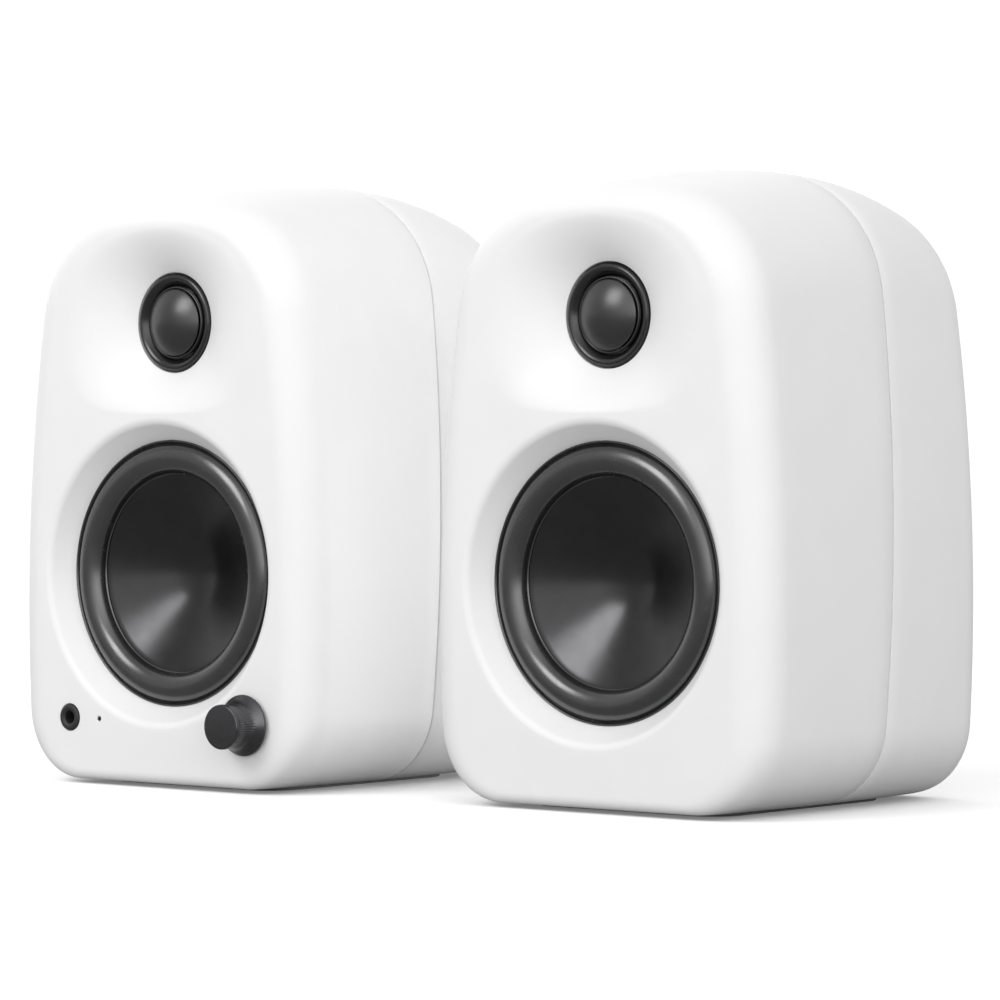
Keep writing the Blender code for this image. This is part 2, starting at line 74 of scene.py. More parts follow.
# Cabinet form
HALF_WIDTH = 58.9
HEIGHT = 169.9
SEAM_Y = 54.0
DEPTH = 105.0
FRONT_NARROWING = (2.7, 6.8)
REAR_NARROWING = (3.0, 10.7)
FRONT_ROLL = 10.5
REAR_ROLL = 13.5
SIDE_RADIUS = 570.0
CROWN_RADIUS = 120.0
WIDEST_Z = 49.9
LOW_CORNER = 22.0
HIGH_CORNER = (34.9, 38.5, 31.7)
BASE_EDGE = 3.0
CROWN_ROLL = 0.6
CORNER_SHRINK = 0.6          # how much a corner's radius loses for each mm that the section draws in
FACE_BAND = 0.5              # even band along the edges of the flat front and back
SEAM_LEAN = 0.058
SEAM_GAP = 0.4
SEAM_EDGE = 0.45
SEAM_TURN = 0.13             # inset and setback of the middle row of the seam's soft edge
WALL = 3.0
EVEN_WALL = (32.0, 80.0)     # depths between which the wall keeps its thickness
BAFFLE = 12.0
BACK_WALL = 4.5

# Drivers
WOOFER_Z = 59.1
TWEETER_Z = WOOFER_Z + 70.6
WOOFER_DEPTH = 6.4
TWEETER_DEPTH = 7.7
WOOFER_SEAT = 37.6
WOOFER_REBATE = (35.2, 1.9)  # radius of the hole through the baffle, and depth of the rim's rebate
FLARE = (3.2, 44.1)          # softening radius of the woofer's flare, and where it meets the face
FLARE_ANGLE = 38.0           # lean of the flare away from the axis
TWEETER_SEAT = 14.2
TWEETER_REBATE = (11.6, 1.5)
WAVEGUIDE_WIDTH = 35.5
WAVEGUIDE_TAPER = 2.5        # how much narrower it is above than to the sides
WAVEGUIDE_LIMITS = ((29.9, 4), (25.8, 8))    # above and below: how far it reaches, how squarely it ends
WAVEGUIDE_FALL = (1.9, 0.45, 0.6)    # steepness of its profile to the sides, and the loss above and below

# Controls and back
KNOB = (34.4, 18.0)
KNOB_FOOT = 0.9              # gap under the knob's skirt, which its push uses up in part
RIBS = 54
RIBS_SPAN = (3.4, 8.7)       # heights between which the knob's neck is ribbed
RIB_DEPTH = 0.09
JACK = (-34.0, 17.5)
LIGHT = (-22.4, 17.5)
CONTROL_HOLES = ((*JACK, 3.9), (*LIGHT, 0.75), (*KNOB, 4.8))     # centres, and radii through the front
PORT_Z = 124.0
PORT_LENGTH = 45.0
PORT_SEAT = (15.3, 1.8)      # radius and depth of the rebate under the port's flange
PORT_HOLE = 12.8
PANEL = (37.2, 14.0, 99.0)
PLATE = (24.0, 24.0, 76.0)
PANEL_THICK = 2.0
PANEL_CORNER = 5.0
SCREW_POINTS = [(x, z) for x in (-33.0, 33.0) for z in (PANEL[1] + 4.2, PANEL[2] - 4.2)]
SCREW_HOLE = 1.7
PAD_CORNER = 9.0
GAP = 0.3
SOCKET_Z = 82.0
RCA_SOCKETS = (("rca_left", -22.0, "white_insulator"), ("rca_right", -8.0, "red_abs"),
               ("rca_sub_out", 6.0, "black_abs"))
RCA_HOLE = 4.5
USB_X = 21.0
USB_HOLE = (4.8, 2.0, 1.8)   # half width, half height and corner radius
POWER = (-19.0, 38.0)
POWER_HOLE = 5.3
CLIPS = {"active_": (12.0, 38.0), "passive_": (0.0, 50.0)}
CLIP_SPACING = 14.0
CLIP_BLOCK = (17.0, 11.0)    # half width and half height of a terminal block

STEPS = 144                  # round the large turned pieces
ON_AXIS = 1e-6               # a radius under this is a point on the axis


# ---------------------------------------------------------------- materials

def linear(hex_colour):
    """sRGB hex to the linear colour that shaders take."""
    channels = [int(hex_colour[i:i + 2], 16) / 255 for i in (1, 3, 5)]
    return tuple(c / 12.92 if c <= 0.04045 else ((c + 0.055) / 1.055) ** 2.4 for c in channels) + (1.0,)


def per_mm(size):
    """Texture scale, in metres, whose features are about this many millimetres across."""
    return 1.0 / (size * MM)


def bands(period):
    """Wave texture scale whose bands are this many millimetres apart; one wave spans TAU / 20."""
    return TAU / (20 * period * MM)


def add(tree, kind, inputs=(), **settings):
    """Add a node with its settings; inputs are values or the sockets that feed them."""
    node = tree.nodes.new(kind)
    for key, value in settings.items():
        setattr(node, key, value)
    for key, value in dict(inputs).items():
        if isinstance(value, bpy.types.NodeSocket):
            tree.links.new(value, node.inputs[key])
        else:
            node.inputs[key].default_value = value
    return node


MADE = {}


def material(name):
    """The named finish, made once."""
    if name not in MADE:
        made = bpy.data.materials.new(name.replace("_", " "))
        made.use_nodes = True
        shader = made.node_tree.nodes["Principled BSDF"]
        where = add(made.node_tree, "ShaderNodeTexCoord").outputs["Object"]
        FINISHES[name](made.node_tree, shader, where)
        MADE[name] = made
    return MADE[name]


def settle(shader, **values):
    """Set the shader's own sockets by name, underscores for spaces."""
    for key, value in values.items():
        shader.inputs[key.replace("_", " ")].default_value = value


def speckle(tree, shader, where, low, high, size, detail=3.0):
    """Base colour that drifts between two near shades."""
    noise = add(tree, "ShaderNodeTexNoise", {"Vector": where, "Scale": per_mm(size), "Detail": detail})
    ramp = add(tree, "ShaderNodeValToRGB", {"Fac": noise.outputs["Fac"]})
    ramp.color_ramp.elements[0].position = 0.3
    ramp.color_ramp.elements[0].color = linear(low)
    ramp.color_ramp.elements[1].position = 0.7
    ramp.color_ramp.elements[1].color = linear(high)
    tree.links.new(ramp.outputs["Color"], shader.inputs["Base Color"])


def rough(tree, shader, where, low, high, size):
    """Roughness that wanders between two values."""
    noise = add(tree, "ShaderNodeTexNoise", {"Vector": where, "Scale": per_mm(size), "Detail": 2.0})
    spread = add(tree, "ShaderNodeMapRange", {"Value": noise.outputs["Fac"], "From Min": 0.3, "From Max": 0.7,
                                              "To Min": low, "To Max": high})
    tree.links.new(spread.outputs["Result"], shader.inputs["Roughness"])


def grain(tree, shader, where, size, height):
    """Fine bumps of a size and height in millimetres."""
    noise = add(tree, "ShaderNodeTexNoise", {"Vector": where, "Scale": per_mm(size), "Detail": 2.0})
    bump = add(tree, "ShaderNodeBump", {"Height": noise.outputs["Fac"], "Distance": height * MM})
    tree.links.new(bump.outputs["Normal"], shader.inputs["Normal"])


def woven(tree, shader, where, pitch, height, crossing):
    """Threads a pitch apart, in millimetres; crossing says how the two directions combine."""
    threads = [add(tree, "ShaderNodeTexWave", {"Vector": where, "Scale": bands(pitch)},
                   wave_type="BANDS", bands_direction=axis).outputs["Fac"] for axis in "XZ"]
    weave = add(tree, "ShaderNodeMath", dict(enumerate(threads)), operation=crossing)
    bump = add(tree, "ShaderNodeBump", {"Height": weave.outputs["Value"], "Distance": height * MM})
    tree.links.new(bump.outputs["Normal"], shader.inputs["Normal"])


def ringed(tree, shader, where, pitch, height, wobble=0.0):
    """Rings a pitch apart, in millimetres, along the axis of a turned or wound piece."""
    rings = add(tree, "ShaderNodeTexWave", {"Vector": where, "Scale": bands(pitch), "Distortion": wobble},
                wave_type="BANDS", bands_direction="Y")
    bump = add(tree, "ShaderNodeBump", {"Height": rings.outputs["Fac"], "Distance": height * MM})
    tree.links.new(bump.outputs["Normal"], shader.inputs["Normal"])


def white_abs(tree, shader, where):
    # Injection-moulded ABS from a spark-eroded tool: an even, silky white with a very fine matt grain.
    speckle(tree, shader, where, "#E8E8E8", "#EAEAEA", 18.0)
    rough(tree, shader, where, 0.46, 0.52, 9.0)
    grain(tree, shader, where, 0.5, 0.012)
    settle(shader, IOR=1.53)


def foot_rubber(tree, shader, where):
    # Moulded silicone rubber pad with a fine pebble from the tool. Its dull mid grey is partly painted shade:
    # the strip it shows along the base stands in for the soft shadow line under the cabinet.
    speckle(tree, shader, where, "#747475", "#7E7E7F", 3.0)
    grain(tree, shader, where, 0.6, 0.04)
    settle(shader, Roughness=0.82, IOR=1.43)


def surround_rubber(tree, shader, where):
    # Moulded nitrile rubber, lightly dressed: satin, with soft highlights along the roll.
    speckle(tree, shader, where, "#1B1B1C", "#212122", 6.0)
    rough(tree, shader, where, 0.22, 0.28, 4.0)
    grain(tree, shader, where, 0.35, 0.003)
    settle(shader, IOR=1.95)


def coated_cone(tree, shader, where):
    # Spun aluminium cone, black anodised and lacquered: dark, with one broad clear reflection.
    speckle(tree, shader, where, "#434344", "#474748", 7.0, 2.0)
    rough(tree, shader, where, 0.22, 0.26, 5.0)
    grain(tree, shader, where, 0.6, 0.0015)
    settle(shader, Metallic=1.0)


def coated_silk(tree, shader, where):
    # Woven silk dome, coated: threads 0.3 mm apart show as a very fine weave under a satin film.
    woven(tree, shader, where, 0.3, 0.002, "ADD")
    speckle(tree, shader, where, "#161617", "#1A1A1B", 1.5)
    settle(shader, Roughness=0.32, IOR=1.75)


def gloss_black_abs(tree, shader, where):
    # Gloss-moulded ABS from a polished tool: deep black with clean, narrow reflections.
    speckle(tree, shader, where, "#121213", "#161617", 8.0)
    rough(tree, shader, where, 0.22, 0.28, 5.0)
    settle(shader, IOR=1.6)


def black_abs(tree, shader, where):
    # Textured ABS: charcoal black with a sandy grain that breaks up reflections.
    speckle(tree, shader, where, "#1D1D1F", "#242426", 4.0)
    rough(tree, shader, where, 0.5, 0.6, 3.0)
    grain(tree, shader, where, 0.4, 0.025)
    settle(shader, IOR=1.53)


def knob_finish(tree, shader, where):
    # Turned aluminium, bead blasted and anodised dark grey: satin metal with broad soft highlights.
    speckle(tree, shader, where, "#58585A", "#5D5D5F", 2.5)
    rough(tree, shader, where, 0.27, 0.32, 2.0)
    grain(tree, shader, where, 0.22, 0.006)
    settle(shader, Metallic=1.0)


def red_abs(tree, shader, where):
    # Gloss ABS, moulded red right through: a clear signal colour with small sharp highlights.
    speckle(tree, shader, where, "#A81518", "#B41A1C", 5.0)
    rough(tree, shader, where, 0.28, 0.36, 4.0)
    settle(shader, IOR=1.53)


def white_insulator(tree, shader, where):
    # Nylon insulator, slightly translucent and off white.
    speckle(tree, shader, where, "#E2E0D8", "#EBE9E2", 2.0)
    settle(shader, Roughness=0.38, IOR=1.53, Subsurface_Weight=0.08, Subsurface_Scale=0.001)


def nickel_plate(tree, shader, where):
    # Nickel over brass: warm silver, bright, with faint turning marks that soften the reflections.
    speckle(tree, shader, where, "#C9C4BA", "#D2CDC3", 1.5)
    rough(tree, shader, where, 0.2, 0.3, 0.8)
    settle(shader, Metallic=1.0)


def plated_steel(tree, shader, where):
    # Turned low-carbon steel, zinc plated: cool grey with lathe rings.
    ringed(tree, shader, where, 0.4, 0.01, 0.4)
    speckle(tree, shader, where, "#A3A6AA", "#B2B4B7", 3.0)
    settle(shader, Metallic=1.0, Roughness=0.34)


def stamped_steel(tree, shader, where):
    # Pressed sheet steel under black electro-coat: even, smooth and semi-matt.
    speckle(tree, shader, where, "#161617", "#1C1C1D", 5.0)
    rough(tree, shader, where, 0.38, 0.46, 3.0)
    grain(tree, shader, where, 0.5, 0.008)
    settle(shader, IOR=1.5)


def black_steel(tree, shader, where):
    # Black-oxide screw steel: dark metal with worn, slightly brighter patches.
    speckle(tree, shader, where, "#242426", "#38383A", 0.9)
    rough(tree, shader, where, 0.35, 0.5, 0.7)
    settle(shader, Metallic=1.0)


def black_aluminium(tree, shader, where):
    # Extruded and black-anodised aluminium: die lines run the length of the fins.
    stretch = add(tree, "ShaderNodeMapping", {"Vector": where, "Scale": (1.0, 1.0, 0.03)})
    lines = add(tree, "ShaderNodeTexNoise", {"Vector": stretch.outputs["Vector"], "Scale": per_mm(0.4)})
    bump = add(tree, "ShaderNodeBump", {"Height": lines.outputs["Fac"], "Distance": 0.01 * MM})
    tree.links.new(bump.outputs["Normal"], shader.inputs["Normal"])
    speckle(tree, shader, where, "#1A1A1C", "#232325", 6.0)
    settle(shader, Metallic=1.0, Roughness=0.42)


def ferrite(tree, shader, where):
    # Sintered strontium ferrite: dark grey ceramic, dull, with a coarse pressed grain.
    speckle(tree, shader, where, "#37383A", "#46474A", 1.2)
    grain(tree, shader, where, 0.5, 0.04)
    settle(shader, Roughness=0.68, IOR=1.6)


def copper_wire(tree, shader, where):
    # Enamelled copper wound in one layer: 0.2 mm turns, drawn 0.5 mm apart so that they show.
    ringed(tree, shader, where, 0.5, 0.06)
    speckle(tree, shader, where, "#A85C36", "#BC6B40", 1.0)
    settle(shader, Metallic=1.0, Roughness=0.3, Coat_Weight=0.4, Coat_Roughness=0.15)


def treated_cotton(tree, shader, where):
    # Resin-treated cotton for the spider: amber-brown open weave, threads 0.6 mm apart.
    woven(tree, shader, where, 0.6, 0.08, "MULTIPLY")
    speckle(tree, shader, where, "#B28A4A", "#C69A57", 2.0)
    settle(shader, Roughness=0.75, Sheen_Weight=0.15)


def circuit_board(tree, shader, where):
    # Glass-epoxy board under green solder mask: tracks a millimetre or so wide stand up in the gloss.
    cells = add(tree, "ShaderNodeTexVoronoi", {"Vector": where, "Scale": per_mm(5.0)},
                feature="DISTANCE_TO_EDGE", distance="MANHATTAN")
    track = add(tree, "ShaderNodeMapRange", {"Value": cells.outputs["Distance"], "From Min": 0.08,
                                             "From Max": 0.12, "To Min": 1.0, "To Max": 0.0})
    ramp = add(tree, "ShaderNodeValToRGB", {"Fac": track.outputs["Result"]})
    ramp.color_ramp.elements[0].color = linear("#0C4A2B")
    ramp.color_ramp.elements[1].color = linear("#1B6A3F")
    tree.links.new(ramp.outputs["Color"], shader.inputs["Base Color"])
    bump = add(tree, "ShaderNodeBump", {"Height": track.outputs["Result"], "Distance": 0.035 * MM})
    tree.links.new(bump.outputs["Normal"], shader.inputs["Normal"])
    settle(shader, Roughness=0.28, IOR=1.5)


def clear_acrylic(tree, shader, where):
    # Moulded acrylic light pipe: clear and glossy, faintly grey where it is unlit.
    speckle(tree, shader, where, "#222426", "#2A2C2E", 0.5)
    settle(shader, Roughness=0.12, IOR=1.49, Transmission_Weight=0.3)


def tool_dark(tree, shader, where):
    # The dark inside of a socket: black nylon, dull.
    speckle(tree, shader, where, "#0B0B0C", "#111112", 1.5)
    settle(shader, Roughness=0.7, IOR=1.53)


FINISHES = {f.__name__: f for f in (
    white_abs, foot_rubber, surround_rubber, coated_cone, coated_silk, gloss_black_abs, black_abs,
    knob_finish, red_abs, white_insulator, nickel_plate, plated_steel, stamped_steel, black_steel,
    black_aluminium, ferrite, copper_wire, treated_cotton, circuit_board, clear_acrylic, tool_dark)}


# ---------------------------------------------------------------- places and pieces

def stand(side):
    """Where a cabinet's frame starts, in metres: under the middle of its front face."""
    low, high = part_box(side + "front_shell")
    return ((low[0] + high[0]) / 2, low[1], low[2])


STAND = {side: stand(side) for side in ("active_", "passive_")}


def world(side, point):
    return tuple(s + c * MM for s, c in zip(STAND[side], point))


class Skin:
    """A mesh under construction in one cabinet's millimetres."""

    def __init__(self, side):
        self.side = side
        self.bm = bmesh.new()

    def ring(self, points):
        return [self.bm.verts.new(world(self.side, p)) for p in points]

    def bridge(self, a, b):
        for i in range(len(a)):
            j = (i + 1) % len(a)
            self.bm.faces.new((a[i], a[j], b[j], b[i]))

    def run(self, rings):
        """Bridge a row of equal rings and give back the first and last."""
        made = [self.ring(r) for r in rings]
        for a, b in zip(made, made[1:]):
            self.bridge(a, b)
        return made[0], made[-1]

    def block(self, rings):
        """Bridge a row of equal rings and close both ends."""
        for end in self.run(rings):
            self.bm.faces.new(end)

    def fan(self, ring, point):
        tip = self.bm.verts.new(world(self.side, point))
        for i in range(len(ring)):
            self.bm.faces.new((ring[i], ring[(i + 1) % len(ring)], tip))

    def fill(self, loops):
        """Fill the flat region between loops, the first outside and the rest holes."""
        edges = []
        for loop in loops:
            for i, v in enumerate(loop):
                w = loop[(i + 1) % len(loop)]
                edges.append(self.bm.edges.get((v, w)) or self.bm.edges.new((v, w)))
        bmesh.ops.triangle_fill(self.bm, edges=edges, use_beauty=True, normal=(0.0, 1.0, 0.0))

    def finish(self, name, look, body, sharp=32.0):
        bmesh.ops.recalc_face_normals(self.bm, faces=self.bm.faces)
        mesh = bpy.data.meshes.new(name)
        self.bm.to_mesh(mesh)
        self.bm.free()
        mesh.shade_smooth()
        mesh.set_sharp_from_angle(angle=math.radians(sharp))
        obj = bpy.data.objects.new(name, mesh)
        bpy.context.scene.collection.objects.link(obj)
        obj.data.materials.append(material(look))
        if body:
            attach(obj, body)
        return obj


def soften(points, closed, steps=5):
    """Round the corners of a profile: each point is (r, h) or (r, h, corner radius)."""
    out = []
    count = len(points)
    for i, point in enumerate(points):
        here = np.array(point[:2], float)
        radius = point[2] if len(point) > 2 else 0.0
        ends = not closed and i in (0, count - 1)
        if radius == 0 or ends:
            out.append(tuple(here))
            continue
        a = np.array(points[i - 1][:2], float) - here
        b = np.array(points[(i + 1) % count][:2], float) - here
        a /= np.hypot(*a)
        b /= np.hypot(*b)
        half = math.acos(max(-1.0, min(1.0, float(a @ b)))) / 2
        reach = radius / math.tan(half)
        middle = here + (a + b) / np.hypot(*(a + b)) * (radius / math.sin(half))
        start = here + a * reach - middle
        end = here + b * reach - middle
        turn = math.atan2(start[0] * end[1] - start[1] * end[0], float(start @ end))
        for k in range(steps + 1):
            angle = turn * k / steps
            cos, sin = math.cos(angle), math.sin(angle)
            across = start[0] * cos - start[1] * sin
            along = start[0] * sin + start[1] * cos
            out.append((middle[0] + across, middle[1] + along))
    return out


def arc(centre, radius, start, end, steps):
    """Points on an arc between two angles in degrees."""
    angles = np.radians(np.linspace(start, end, steps + 1))
    return [(centre[0] + radius * math.cos(a), centre[1] + radius * math.sin(a)) for a in angles]


def turned(name, side, centre, profile, look, body, steps=STEPS, back=False, ripple=None, sharp=32.0):
    """A turned piece about an axis along Y: profile is (radius, height forward of the centre)."""
    cx, cy, cz = centre
    sign = 1 if back else -1
    skin = Skin(side)
    rows = []
    for r, h in profile:
        if r < ON_AXIS:
            rows.append((cx, cy + sign * h, cz))
            continue
        points = []
        for k in range(steps):
            angle = TAU * k / steps
            radius = r + (ripple(angle, r, h) if ripple else 0.0)
            points.append((cx + radius * math.cos(angle), cy + sign * h, cz + radius * math.sin(angle)))
        rows.append(skin.ring(points))
    closed = profile[0][0] > ON_AXIS
    pairs = list(zip(rows, rows[1:])) + ([(rows[-1], rows[0])] if closed else [])
    for a, b in pairs:
        if isinstance(a, tuple):
            skin.fan(b, a)
        elif isinstance(b, tuple):
            skin.fan(a, b)
        else:
            skin.bridge(a, b)
    return skin.finish(name, look, body, sharp)


def stands_for(obj, node):
    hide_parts(node)


# ---------------------------------------------------------------- cabinets

def half_outline(half_width, top, low_corner, high_corner, floor):
    """Right half of a cabinet section, from the underside up to the crown's middle."""
    side = np.array([half_width - SIDE_RADIUS, WIDEST_Z])
    crown = np.array([0.0, top - CROWN_RADIUS])
    low_z = floor + low_corner
    reach = SIDE_RADIUS - low_corner
    low = np.array([side[0] + math.sqrt(reach ** 2 - (low_z - WIDEST_Z) ** 2), low_z])
    to_side = SIDE_RADIUS - high_corner
    to_crown = CROWN_RADIUS - high_corner
    span = crown - side
    length = np.hypot(*span)
    along = (to_side ** 2 - to_crown ** 2 + length ** 2) / (2 * length)
    across = math.sqrt(to_side ** 2 - along ** 2)
    unit = span / length
    normal = np.array([unit[1], -unit[0]])
    high = max((side + unit * along + normal * s * across for s in (1, -1)), key=lambda p: p[1])
    angles = [math.degrees(math.atan2(*(p - c)[::-1])) for p, c in ((low, side), (high, side), (high, crown))]
    points = arc(low, low_corner, -90.0, angles[0], 16)
    points += arc(side, SIDE_RADIUS, angles[0], 0.0, 5)[1:]
    points += arc(side, SIDE_RADIUS, 0.0, angles[1], 14)[1:]
    points += arc(high, high_corner, angles[1], angles[2], 20)[1:]
    points += arc(crown, CROWN_RADIUS, angles[2], 90.0, 10)[1:]
    return points


def section(y, inset=0.0, upright=False):
    """Closed ring of the body at depth y, pulled in by the edge rolls and by inset."""
    if y < SEAM_Y:
        share = ((SEAM_Y - y) / SEAM_Y) ** 1.6
        narrowing = FRONT_NARROWING
    else:
        share = ((y - SEAM_Y) / (DEPTH - SEAM_Y)) ** 2
        narrowing = REAR_NARROWING
    roll = 0.0
    crown_share = 1.0
    if inset < WALL and y < FRONT_ROLL:
        roll = FRONT_ROLL - math.sqrt(FRONT_ROLL ** 2 - (FRONT_ROLL - y) ** 2)
        crown_share = CROWN_ROLL
    over = y - (DEPTH - REAR_ROLL)
    if inset < WALL and over > 0:
        roll = REAR_ROLL - math.sqrt(max(REAR_ROLL ** 2 - over ** 2, 0.0))
    pull = roll + inset
    edge = min(y, DEPTH - y)
    floor = inset
    if inset < WALL:
        floor += BASE_EDGE - math.sqrt(BASE_EDGE ** 2 - max(BASE_EDGE - edge, 0.0) ** 2)
    high_corner = float(np.interp(y, (0.0, SEAM_Y, DEPTH), HIGH_CORNER))
    top = HEIGHT - narrowing[1] * share - crown_share * roll - inset
    half = half_outline(HALF_WIDTH - narrowing[0] * share - pull, top, LOW_CORNER - CORNER_SHRINK * pull,
                        high_corner - CORNER_SHRINK * pull, floor)
    ring = half + [(-x, z) for x, z in half[-2::-1]]
    lean = 0.0 if upright else float(np.interp(y, (0.0, SEAM_Y, DEPTH), (0.0, SEAM_LEAN, 0.0)))
    return [(x, y + lean * (z - WOOFER_Z), z) for x, z in ring]


def tightened(ring, by):
    """The same flat ring moved inwards, for an even band along a flat face's edge."""
    flat = np.array([(p[0], p[2]) for p in ring])
    tangent = np.roll(flat, -1, 0) - np.roll(flat, 1, 0)
    tangent /= np.hypot(tangent[:, 0], tangent[:, 1])[:, None]
    moved = flat + np.stack([-tangent[:, 1], tangent[:, 0]], 1) * by
    return [(x, p[1], z) for (x, z), p in zip(moved, ring)]


def circle(centre, radius, y, steps):
    cx, cz = centre
    return [(cx + radius * math.cos(TAU * k / steps), y, cz + radius * math.sin(TAU * k / steps))
            for k in range(steps)]


def waveguide_edge(angle):
    """Outer radius of the waveguide in a direction: a round form cut off softly above and below."""
    up = math.sin(angle)
    wide = WAVEGUIDE_WIDTH - WAVEGUIDE_TAPER * up
    limit, power = WAVEGUIDE_LIMITS[0 if up > 0 else 1]
    return (wide ** -power + (abs(up) / limit) ** power) ** (-1 / power)


def waveguide_ring(share):
    """One ring of the scoop: share runs from 1 at its rim to 0 at the tweeter's seat."""
    level, above, below = WAVEGUIDE_FALL
    points = []
    for k in range(STEPS):
        angle = TAU * k / STEPS
        edge = waveguide_edge(angle)
        radius = TWEETER_SEAT + share * (edge - TWEETER_SEAT)
        up = math.sin(angle)
        steepness = level - (above * up if up > 0 else below * up ** 2)
        depth = TWEETER_DEPTH * max(1 - share, 0.0) ** steepness
        points.append((radius * math.cos(angle), depth, TWEETER_Z + radius * math.sin(angle)))
    return points


def front_shell(side, holes):
    """Front shell: rolled edges, the two driver seats, and a closed inside."""
    skin = Skin(side)
    roll = [FRONT_ROLL * (1 - math.cos(a)) for a in np.linspace(0, math.pi / 2, 15)]
    depths = roll + list(np.linspace(FRONT_ROLL, SEAM_Y - SEAM_EDGE, 9))[1:]
    rings = [tightened(section(0.0), FACE_BAND)] + [section(y) for y in depths]
    rings += [section(SEAM_Y - SEAM_TURN, SEAM_TURN), section(SEAM_Y, SEAM_EDGE), section(SEAM_Y, WALL),
              section(EVEN_WALL[0], WALL), section(BAFFLE, WALL + 1.5, upright=True)]
    outer, inner = skin.run(rings)
    centre = (0.0, WOOFER_Z)
    radius, mouth = FLARE
    flare = arc((mouth, radius), radius, 270.0, 180.0 + FLARE_ANGLE, 12)
    hole, rebate = WOOFER_REBATE
    seat = [(mouth + 0.6, 0.0)] + flare
    seat += [(WOOFER_SEAT, WOOFER_DEPTH), (WOOFER_SEAT, WOOFER_DEPTH + rebate), (hole, WOOFER_DEPTH + rebate),
             (hole, BAFFLE)]
    woofer_seat = skin.run([circle(centre, r, y, STEPS) for r, y in seat])
    rings = [waveguide_ring(1.02)] + [waveguide_ring(t) for t in np.linspace(1, 0, 25)]
    hole, rebate = TWEETER_REBATE
    floor = TWEETER_DEPTH + rebate
    rows = ((TWEETER_SEAT, floor), (hole, floor), (hole, BAFFLE))
    rings += [circle((0.0, TWEETER_Z), r, y, STEPS) for r, y in rows]
    tweeter_seat = skin.run(rings)
    edge = 0.25
    turn = ((1.6, 0.0), (1.0, 0.0), (0.3, 0.3), (0.0, 1.0))
    bores = [skin.run([circle((x, z), radius + edge * out, edge * down, 40) for out, down in turn]
                      + [circle((x, z), radius, BAFFLE, 40)]) for x, z, radius in holes]
    openings = [woofer_seat, tweeter_seat] + bores
    skin.fill([outer] + [front for front, _ in openings])
    skin.fill([inner] + [back for _, back in openings])
    obj = skin.finish(side + "front_shell_moulding", "white_abs", side + "cabinet")
    stands_for(obj, side + "front_shell")


def rounded_rectangle(half, low, high, corner, y, steps=8):
    """Closed ring of an upright rectangle with round corners, anticlockwise from its lower right."""
    points = []
    for cx, cz, start in ((half - corner, low + corner, -90), (half - corner, high - corner, 0),
                          (-half + corner, high - corner, 90), (-half + corner, low + corner, 180)):
        points += [(x, y, z) for x, z in arc((cx, cz), corner, start, start + 90, steps)]
    return points


def rear_shell(side, panel):
    """Rear shell: rolled back edge, the rebate and window of the panel, and the port's seat."""
    skin = Skin(side)
    start = SEAM_Y + SEAM_GAP
    roll = [DEPTH - REAR_ROLL + REAR_ROLL * math.sin(a) for a in np.linspace(0, math.pi / 2, 15)]
    end = DEPTH - BACK_WALL
    rings = [section(end, WALL + 8.0, upright=True), section(EVEN_WALL[1], WALL), section(start, WALL),
             section(start, SEAM_EDGE), section(start + SEAM_TURN, SEAM_TURN)]
    rings += [section(y) for y in list(np.linspace(start + SEAM_EDGE, DEPTH - REAR_ROLL, 9))[:-1] + roll]
    rings.append(tightened(section(DEPTH), FACE_BAND))
    inner, outer = skin.run(rings)
    half, low, high = panel
    floor = DEPTH - PANEL_THICK - GAP
    grow = ((0.9, DEPTH), (0.6, DEPTH), (0.39, DEPTH - 0.09), (0.3, DEPTH - 0.3), (0.3, floor))
    rebate = skin.run([rounded_rectangle(half + g, low - g, high + g, PANEL_CORNER + g, y) for g, y in grow]
                      + [rounded_rectangle(half - 7, low + 7, high - 7, 2.0, y) for y in (floor, end)])
    seat, rebate_y = PORT_SEAT[0], DEPTH - PORT_SEAT[1]
    edge = [(seat + 0.8, DEPTH), (seat + 0.4, DEPTH), (seat + 0.1, DEPTH - 0.12), (seat, DEPTH - 0.4),
            (seat, rebate_y), (PORT_HOLE, rebate_y), (PORT_HOLE, end)]
    port = skin.run([circle((0.0, PORT_Z), r, y, 96) for r, y in edge])
    skin.fill([outer, rebate[0], port[0]])
    skin.fill([inner, rebate[1], port[1]])
    obj = skin.finish(side + "rear_shell_moulding", "white_abs", side + "cabinet")
    stands_for(obj, side + "rear_shell")


def base_pad(side):
    """Rubber pad with a softened rim and rounded corners, under the cabinet."""
    low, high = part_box(side + "foot_pad")
    x0, y0, z0 = [(c - s) / MM for c, s in zip(low, STAND[side])]
    x1, y1, z1 = [(c - s) / MM for c, s in zip(high, STAND[side])]
    skin = Skin(side)

    right, left = x1 - PAD_CORNER, x0 + PAD_CORNER
    back, front = y1 - PAD_CORNER, y0 + PAD_CORNER

    def ring(inset, z):
        points = []
        for cx, cy, start in ((right, front, -90), (right, back, 0), (left, back, 90), (left, front, 180)):
            points += [(x, y, z) for x, y in arc((cx, cy), PAD_CORNER - inset, start, start + 90, 8)]
        return points
    skin.block([ring(0.35, z0), ring(0.1, z0 + 0.1), ring(0.0, z0 + 0.3), ring(0.0, z1), ring(0.0, z1 + GAP)])
    obj = skin.finish(side + "base_pad_moulding", "foot_rubber", side + "cabinet")
    stands_for(obj, side + "foot_pad")


# ---------------------------------------------------------------- drivers

